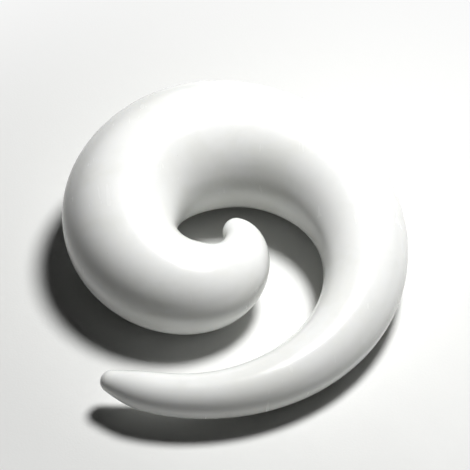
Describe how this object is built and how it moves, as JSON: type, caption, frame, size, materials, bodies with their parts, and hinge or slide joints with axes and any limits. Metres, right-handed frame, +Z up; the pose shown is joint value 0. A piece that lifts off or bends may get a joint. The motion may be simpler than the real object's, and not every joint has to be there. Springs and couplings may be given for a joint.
{
  "type": "spiral ear taper",
  "caption": "Flat spiral of solid round rod: thin blunt tail, full gauge at the outer bend, thinning again to a nose curled in the eye; slides through a stretched ear lobe.",
  "frame": {"origin": "middle of the bounding box in X and Y, at the table the taper lies on", "axes": "+Z up from the table, +Y away from the tail across the length of the spiral, +X towards the outer arm"},
  "size_m": [0.0516, 0.0584, 0.02],
  "materials": {
    "acrylic": "polished white acrylic, tumbled to a soft gloss"
  },
  "bodies": {
    "root": {"spiral_taper": "acrylic"}
  },
  "joints": []
}
